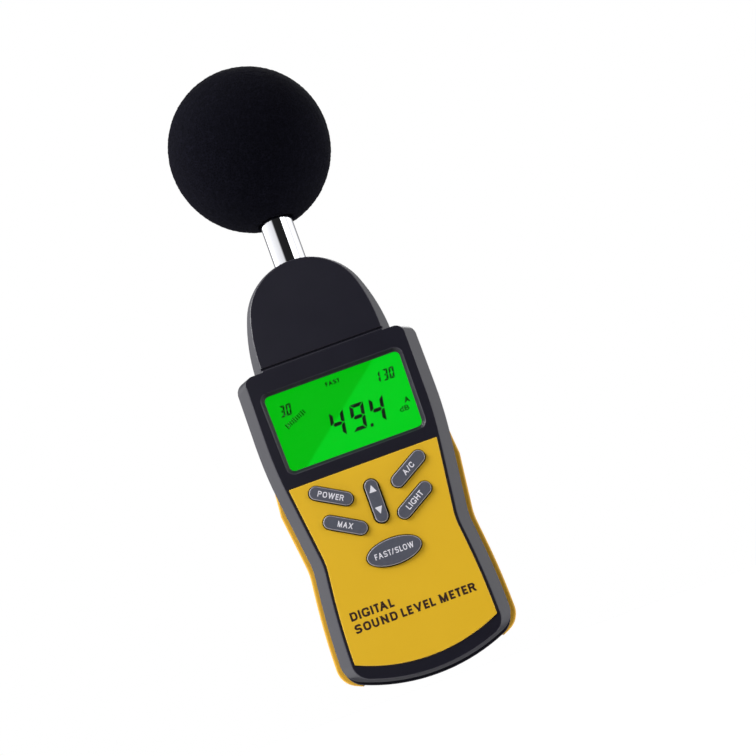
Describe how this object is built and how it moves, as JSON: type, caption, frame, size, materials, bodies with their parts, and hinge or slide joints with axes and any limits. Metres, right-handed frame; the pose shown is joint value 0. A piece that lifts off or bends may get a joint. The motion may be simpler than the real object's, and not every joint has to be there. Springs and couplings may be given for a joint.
{
  "type": "sound level meter",
  "caption": "Handheld sound level meter: waisted plastic case with bevelled sides, display, slanted keys, tube microphone under a foam ball windscreen, sliding battery door.",
  "frame": {"origin": "mouth of the tripod bush in the back face, on the centreline", "axes": "+Z along the long axis towards the microphone, +Y out of the back, so the display and keys face -Y, +X to the right of a reader"},
  "size_m": [0.0706, 0.0636, 0.2439],
  "materials": {
    "shell_black": "fine-textured moulded ABS",
    "panel_yellow": "satin moulded ABS",
    "grip_yellow": "soft moulded elastomer",
    "key_grey": "matt silicone rubber",
    "carbon_pill": "matt conductive rubber",
    "silicone_mat": "matt silicone rubber",
    "lens_clear": "clear polished acrylic",
    "lcd_glass": "clear glass with polariser",
    "backlight_green": "lit light guide",
    "frame_grey": "moulded",
    "board_green": "solder mask on glass epoxy",
    "chip_black": "moulded epoxy",
    "led_white": "moulded",
    "aluminium_can": "satin drawn can",
    "trimmer_blue": "moulded",
    "rotor_white": "moulded",
    "chrome_tube": "polished plating",
    "capsule_steel": "fine turned",
    "sleeve_grey": "turned acetal",
    "foam_black": "open-cell foam",
    "screw_steel": "black-zinc plated",
    "bush_brass": "turned",
    "label_silver": "printed film, blank",
    "battery_case": "printed steel jacket",
    "snap_black": "moulded vinyl",
    "wire_red": "vinyl insulation",
    "wire_black": "vinyl insulation",
    "wire_grey": "screened microphone lead",
    "pad_foam": "closed-cell foam"
  },
  "bodies": {
    "housing": {"front_shell": "shell_black", "rear_shell": "shell_black", "left_grip": "grip_yellow", "right_grip": "grip_yellow", "face_panel": "panel_yellow", "window_lens": "lens_clear", "lcd_front_glass": "lcd_glass", "lcd_rear_glass": "lcd_glass", "lcd_frame": "frame_grey", "backlight": "backlight_green", "backlight_leds": "led_white", "zebra_strip": "silicone_mat", "main_board": "board_green", "preamp_board": "board_green", "mcu_chip": "chip_black", "amplifier_chips": "chip_black", "capacitors": "aluminium_can", "trimmer_body": "trimmer_blue", "keypad_mat": "silicone_mat", "mic_tube": "chrome_tube", "mic_sleeve": "sleeve_grey", "mic_capsule": "capsule_steel", "mic_grid": "capsule_steel", "mic_lead": "wire_grey", "battery": "battery_case", "battery_snap": "snap_black", "battery_lead_red": "wire_red", "battery_lead_black": "wire_black", "tripod_bush": "bush_brass", "case_screws": "screw_steel", "board_screws": "screw_steel", "rear_label": "label_silver"},
    "foam_windscreen": {"windscreen": "foam_black"},
    "door": {"battery_door": "shell_black", "door_pad": "pad_foam"},
    "rotor": {"trimmer_rotor": "rotor_white"},
    "power_key_body": {"power_key": "key_grey", "power_key_pill": "carbon_pill"},
    "max_key_body": {"max_key": "key_grey", "max_key_pill": "carbon_pill"},
    "weighting_key_body": {"weighting_key": "key_grey", "weighting_key_pill": "carbon_pill"},
    "light_key_body": {"light_key": "key_grey", "light_key_pill": "carbon_pill"},
    "level_key_body": {"level_key": "key_grey", "level_key_pill": "carbon_pill"},
    "speed_key_body": {"speed_key": "key_grey", "speed_key_pill": "carbon_pill"}
  },
  "joints": [
    {"name": "power_key_press", "type": "slide", "parent": "housing", "child": "power_key_body", "axis": [0, 1, 0], "range_m": [0, 0.0008], "stiffness_N_per_m": 1500, "springref_m": -0.0003},
    {"name": "max_key_press", "type": "slide", "parent": "housing", "child": "max_key_body", "axis": [0, 1, 0], "range_m": [0, 0.0008], "stiffness_N_per_m": 1500, "springref_m": -0.0003},
    {"name": "weighting_key_press", "type": "slide", "parent": "housing", "child": "weighting_key_body", "axis": [0, 1, 0], "range_m": [0, 0.0008], "stiffness_N_per_m": 1500, "springref_m": -0.0003},
    {"name": "light_key_press", "type": "slide", "parent": "housing", "child": "light_key_body", "axis": [0, 1, 0], "range_m": [0, 0.0008], "stiffness_N_per_m": 1500, "springref_m": -0.0003},
    {"name": "level_key_rock", "type": "hinge", "parent": "housing", "child": "level_key_body", "pos_m": [0, -0.0338, -0.01466], "axis": [1, 0, 0], "range_deg": [-5, 5], "stiffness_Nm_per_rad": 0.1},
    {"name": "speed_key_press", "type": "slide", "parent": "housing", "child": "speed_key_body", "axis": [0, 1, 0], "range_m": [0, 0.0008], "stiffness_N_per_m": 1500, "springref_m": -0.0003},
    {"name": "windscreen_slide", "type": "slide", "parent": "housing", "child": "foam_windscreen", "axis": [0, 0, 1], "range_m": [0, 0.12]},
    {"name": "battery_door_slide", "type": "slide", "parent": "housing", "child": "door", "axis": [0, 0, -1], "range_m": [0, 0.068]},
    {"name": "trimmer_turn", "type": "hinge", "parent": "housing", "child": "rotor", "pos_m": [0.02, -0.0186, -0.002], "axis": [0, 1, 0], "range_deg": [-135, 135]}
  ]
}
